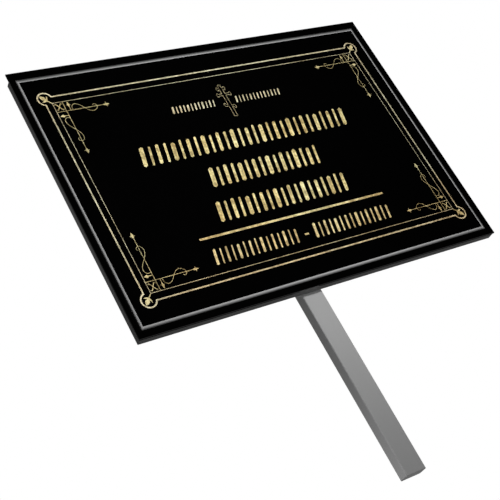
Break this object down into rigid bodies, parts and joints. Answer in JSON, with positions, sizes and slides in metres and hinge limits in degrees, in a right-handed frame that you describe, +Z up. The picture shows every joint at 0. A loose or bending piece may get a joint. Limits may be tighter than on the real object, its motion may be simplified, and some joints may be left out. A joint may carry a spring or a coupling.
{
  "type": "grave plaque with stake",
  "caption": "Wide black grave plaque with a raised panel and gilded engraved border, cross and rows of strokes, on a grey board and a flat steel stake that is pushed into the ground.",
  "frame": {"origin": "centre of the square-cut foot of the stake", "axes": "+Z up along the stake, +X to the right and -Y out of the plaque's face, as a reader stands before it"},
  "size_m": [0.297, 0.0171, 0.3452],
  "materials": {
    "face": "polished black plastic sheet",
    "backing": "dark grey rigid plastic board, satin",
    "stake": "grey painted steel bar",
    "gilding": "mottled pale gold leaf in the engraving"
  },
  "bodies": {
    "root": {"face_plate": "face", "backing_board": "backing", "stake": "stake"}
  },
  "joints": []
}
